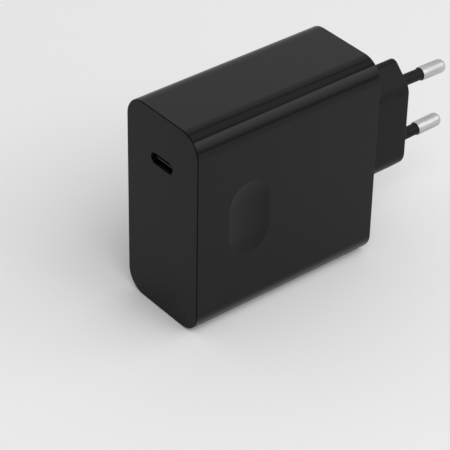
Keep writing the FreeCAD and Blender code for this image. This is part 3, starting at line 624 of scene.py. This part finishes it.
def makeChokeCoils():
    # each turn runs round the ring core's section, which is drawn as a rounded square
    tree, given, end = newForm("chokeCoils", chokeCoil)
    wire = mathNode(tree, "MULTIPLY", given["Wire"], 0.5)
    number = addNode(tree, "GeometryNodeInputIndex").outputs[0]
    turned = mathNode(tree, "SUBTRACT", mathNode(tree, "DIVIDE", number, given["Steps"]), given["Start Turn"])
    around = mathNode(tree, "MULTIPLY", turned, math.tau)

    def squared(wave):
        size = mathNode(tree, "POWER", mathNode(tree, "ABSOLUTE", wave), given["Squareness"])
        return mathNode(tree, "MULTIPLY", mathNode(tree, "SIGN", wave), size)

    def between(low, high):
        half = mathNode(tree, "MULTIPLY", mathNode(tree, "SUBTRACT", high, low), 0.5)
        return mathNode(tree, "ADD", low, half), mathNode(tree, "ADD", half, wire)

    ringRadius, reach = between(given["Core Inner"], given["Core Outer"])
    middle, height = between(given["Core Low"], given["Core High"])
    outward, upward = (squared(mathNode(tree, wave, around)) for wave in ("COSINE", "SINE"))
    out = mathNode(tree, "ADD", ringRadius, mathNode(tree, "MULTIPLY", reach, outward))
    rise = mathNode(tree, "ADD", middle, mathNode(tree, "MULTIPLY", height, upward))
    halfRun = mathNode(tree, "MULTIPLY", mathNode(tree, "SUBTRACT", given["Turns"], 1.0), 0.5)
    swing = mathNode(tree, "MULTIPLY", mathNode(tree, "SUBTRACT", turned, halfRun), given["Turn Angle"])
    angle = mathNode(tree, "RADIANS", mathNode(tree, "ADD", swing, given["Middle Angle"]))
    count = mathNode(tree, "ADD", mathNode(tree, "MULTIPLY", given["Turns"], given["Steps"]), 1.0)
    coil = wireAlong(tree, circledPoints(tree, count, out, angle, rise), wire, given["Sides"])
    # two thin leads under each coil's outer turns, through the base and the board
    leads = []
    for side in (-0.5, 0.5):
        x = mathNode(tree, "MULTIPLY", given["Lead Spacing"], side)
        line = geometryNode(tree, "CurvePrimitiveLine", {
            "Start": vectorOf(tree, x, given["Lead Row"], given["Lead Low"]),
            "End": vectorOf(tree, x, given["Lead Row"], given["Core Low"])}, mode="POINTS")
        leads.append(wireAlong(tree, line, given["Lead Radius"], given["Lead Sides"]))
    half = joined(tree, coil, *leads)
    other = geometryNode(tree, "Transform", {"Geometry": half, "Rotation": (0, 0, math.pi)})
    finishCoil("chokeCoils", "choke_windings", tree, end, given, chokeCoil, joined(tree, half, other))


makeCoil("filterCoil", "filter_winding")
makeCoil("transformerCoil", "transformer_winding")
makeChokeCoils()


# the tongue's stiffening plate, whose worn front edge is the light line in the port
tonguePlate = {"width": 6.3, "thickness": 0.09, "reach": 1.1, "corner": 0.45, "proud": 0.02, "steps": 8,
               "edgeRound": 0.02, "edgeSegments": 2, "smoothAngle": 40}


def makeTonguePlate(values):
    (frontX, _, lowZ), (_, _, highZ) = boxOf("port_tongue")
    front, middle = frontX - values["proud"], (lowZ + highZ) / 2
    half, corner = values["width"] / 2, values["corner"]
    outline = []
    for k in range(values["steps"] + 1):
        angle = math.pi / 2 * k / values["steps"]
        outline.append((front + corner * (1 - math.cos(angle)), half - corner * (1 - math.sin(angle))))
    outline += [(front + values["reach"], half)]
    outline += [(x, -y) for x, y in reversed(outline)]
    form = bmesh.new()
    below, above = ([form.verts.new([c * millimetre for c in (x, y, middle + side * values["thickness"] / 2)])
                     for x, y in outline] for side in (-1, 1))
    form.faces.new(below)
    form.faces.new(above)
    for k in range(len(outline)):
        form.faces.new((below[k - 1], below[k], above[k], above[k - 1]))
    mesh = closedMesh("tonguePlate", form)
    mesh.materials.append(finishes["tongue_plate"])
    piece = newPiece("tonguePlate", mesh)
    settle(piece, "edges", "BEVEL", width=values["edgeRound"] * millimetre, segments=values["edgeSegments"])
    smoothBelow(piece, values["smoothAngle"])
    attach(piece, "root")
    print("tonguePlate faces:", len(piece.data.polygons))


makeTonguePlate(tonguePlate)


# soft pads: flat where they are pressed, and swollen a little at their free sides
softPads = {
    "foam": {"swell": 0.45, "corner": 1.2, "edge": 0.55, "leastCorner": 0.15, "columns": 28, "rings": 10},
    "gel": {"swell": 0.22, "corner": 0.7, "edge": 0.16, "leastCorner": 0.15, "columns": 20, "rings": 6},
}
padSmoothAngle = 50
chipMargin = 0.5  # a gel pad ends this far inside its chip's edges


def softPad(form, low, high, values):
    # a pad pressed along Y between low and high, whose sides bulge out to the box between its faces
    spans = [(h - l) / 2 for l, h in zip(low, high)]
    middle = [(h + l) / 2 for l, h in zip(low, high)]
    edge, rings, steps = values["edge"], values["rings"], values["columns"] // 4
    thick = spans[1]

    def loopAt(inset, y):
        halfX, halfZ = spans[0] - inset, spans[2] - inset
        turn = max(values["corner"] - inset, values["leastCorner"])
        points = []
        for quarter, (signX, signZ) in enumerate(((1, 1), (-1, 1), (-1, -1), (1, -1))):
            for k in range(steps + 1):
                angle = math.pi / 2 * (quarter + k / steps)
                points.append((middle[0] + signX * (halfX - turn) + turn * math.cos(angle),
                               middle[1] + y,
                               middle[2] + signZ * (halfZ - turn) + turn * math.sin(angle)))
        return [form.verts.new([c * millimetre for c in p]) for p in points]

    loops = []
    # rounded edge at the lower face, the swollen side, and the rounded edge at the upper face
    for k in range(rings + 1):
        share = k / rings * 2 - 1
        y = thick * share
        curl = max(abs(y) - (thick - edge), 0) / edge
        inset = values["swell"] * share ** 2 + edge * (1 - math.sqrt(max(1 - curl ** 2, 0)))
        loops.append(loopAt(inset, y))
    for lower, upper in zip(loops, loops[1:]):
        for k in range(len(lower)):
            form.faces.new((lower[k - 1], lower[k], upper[k], upper[k - 1]))
    for loop in (loops[0], loops[-1]):
        centre = form.verts.new([sum(v.co[i] for v in loop) / len(loop) for i in range(3)])
        for k in range(len(loop)):
            form.faces.new((loop[k - 1], loop[k], centre))


def makePads(name, kind, slotName, nodeName, boxes):
    form = bmesh.new()
    for low, high in boxes:
        softPad(form, low, high, softPads[kind])
    mesh = closedMesh(name, form)
    mesh.materials.append(finishes[slotName])
    piece = newPiece(name, mesh)
    smoothBelow(piece, padSmoothAngle)
    keep(piece, slotName, nodeName)
    print(name, "faces:", len(mesh.polygons))


def padBoxes():
    # one pad on each hot chip, a little smaller than the chip, up to the film
    padLow, padHigh = (corner[1] for corner in boxOf("thermal_pads"))
    boxes = []
    for chip in ("bridge_rectifier", "power_switch", "output_rectifier"):
        (lowX, _, lowZ), (highX, _, highZ) = boxOf(chip)
        boxes.append(((lowX + chipMargin, padLow, lowZ + chipMargin),
                      (highX - chipMargin, padHigh, highZ - chipMargin)))
    return boxes


makePads("pressedFoam", "foam", "foam_pad", "cushion_pad", [boxOf("cushion_pad")])
makePads("gelPads", "gel", "pad_rubber", "thermal_pads", padBoxes())


studio = {
    "floorSize": 8.0,
    "floorColour": (0.782, 0.782, 0.782),
    "floorShade": 0.985,  # how much of its colour is left in the floor's slow darker patches
    "floorPatchScale": 6.0,
    "floorRoughness": 0.8,
    "floorSpecular": 0.2,
    "surroundings": 0.62,  # even grey light from all round
    "aimHeight": 0.03,
    "fadeHeight": 0.85,  # share of a lamp's height at which it reaches its full brightness
    # azimuth and elevation as seen from the part, and the brightness left at the lamp's low edge
    "lamps": {
        "sideSoftbox": dict(azimuth=-48, elevation=27, distance=1.5, width=2.0, height=1.0, brightness=1.85,
                            lowEdge=0.08),
        "topCard": dict(azimuth=-16, elevation=56, distance=1.6, width=0.6, height=0.34, brightness=0.32,
                        lowEdge=1.0),
        "farSoftbox": dict(azimuth=52, elevation=40, distance=1.6, width=2.06, height=1.02, brightness=0.26,
                           lowEdge=1.0),
        "frontSoftbox": dict(azimuth=-100, elevation=54, distance=1.3, width=1.1, height=0.9, brightness=2.4,
                             lowEdge=1.0),
    },
}


def makeFloor(values):
    half = values["floorSize"] / 2
    corners = [(-half, -half, 0), (half, -half, 0), (half, half, 0), (-half, half, 0)]
    mesh = bpy.data.meshes.new("floor")
    mesh.from_pydata(corners, [], [range(4)])
    floor = newPiece("floor", mesh)
    finish, tree, shader, place = newFinish("paleFloor")
    tone = spread(tree, noiseOn(tree, place, values["floorPatchScale"]), 0.0, 1.0)
    pale = colourOf(values["floorColour"])
    soft = colourOf([c * values["floorShade"] for c in values["floorColour"]])
    tree.links.new(mixColours(tree, tone, pale, soft), shader.inputs["Base Color"])
    shader.inputs["Roughness"].default_value = values["floorRoughness"]
    shader.inputs["Specular IOR Level"].default_value = values["floorSpecular"]
    # seen from below, the floor lets the part's underside show
    back = addNode(tree, "ShaderNodeNewGeometry").outputs["Backfacing"]
    clear = addNode(tree, "ShaderNodeBsdfTransparent")
    mix = addNode(tree, "ShaderNodeMixShader", {0: back, 1: shader.outputs[0], 2: clear.outputs[0]})
    tree.links.new(mix.outputs[0], tree.nodes["Material Output"].inputs["Surface"])
    mesh.materials.append(finish)


def makeLamps(values):
    for name, lampValues in values["lamps"].items():
        azimuth, elevation = (math.radians(lampValues[k]) for k in ("azimuth", "elevation"))
        away = Vector((math.cos(azimuth) * math.cos(elevation), math.sin(azimuth) * math.cos(elevation),
                       math.sin(elevation)))
        width, height = lampValues["width"], lampValues["height"]
        data = bpy.data.lights.new(name, "AREA")
        data.shape = "RECTANGLE"
        data.size, data.size_y = width, height
        data.energy = lampValues["brightness"] * width * height * math.pi
        data.use_nodes = True
        tree = data.node_tree
        place = addNode(tree, "ShaderNodeNewGeometry").outputs["Parametric"]
        rise = addNode(tree, "ShaderNodeSeparateXYZ", {0: place}).outputs["Y"]
        strength = spread(tree, rise, lampValues["lowEdge"], 1.0, 0.0, values["fadeHeight"])
        tree.links.new(strength, tree.nodes["Emission"].inputs["Strength"])
        lamp = newPiece(name, data)
        lamp.location = away * lampValues["distance"] + Vector((0, 0, values["aimHeight"]))
        lamp.rotation_mode = "QUATERNION"
        lamp.rotation_quaternion = away.to_track_quat("Z", "Y")


def makeSurroundings(values):
    world = bpy.data.worlds.new("studio")
    world.use_nodes = True
    background = world.node_tree.nodes["Background"].inputs
    background["Color"].default_value = colourOf([values["surroundings"]] * 3)
    background["Strength"].default_value = 1.0
    scene.world = world


viewpoint = {
    "place": (-0.2996532, -0.3532105, 0.3471879),
    "azimuth": -39.42377,
    "elevation": 35.69189,
    "roll": 1.12740,
    "lens": 168.65288,
    "sensor": 36.0,
    "nearest": 0.01,
    "farthest": 50.0,
}


def makeCamera(values):
    azimuth, elevation, roll = (math.radians(values[k]) for k in ("azimuth", "elevation", "roll"))
    back = Vector((math.sin(azimuth) * math.cos(elevation), -math.cos(azimuth) * math.cos(elevation),
                   math.sin(elevation)))
    right = Vector((0, 0, 1)).cross(back).normalized()
    up = back.cross(right)
    across = right * math.cos(roll) + up * math.sin(roll)
    upward = up * math.cos(roll) - right * math.sin(roll)
    data = bpy.data.cameras.new("camera")
    data.sensor_width, data.lens = values["sensor"], values["lens"]
    data.clip_start, data.clip_end = values["nearest"], values["farthest"]
    camera = newPiece("camera", data)
    turn = Matrix((across, upward, back)).transposed().to_4x4()
    camera.matrix_world = Matrix.Translation(values["place"]) @ turn
    scene.camera = camera


makeFloor(studio)
makeLamps(studio)
makeSurroundings(studio)
makeCamera(viewpoint)
scene.view_settings.view_transform = "Standard"
print("studio ready")
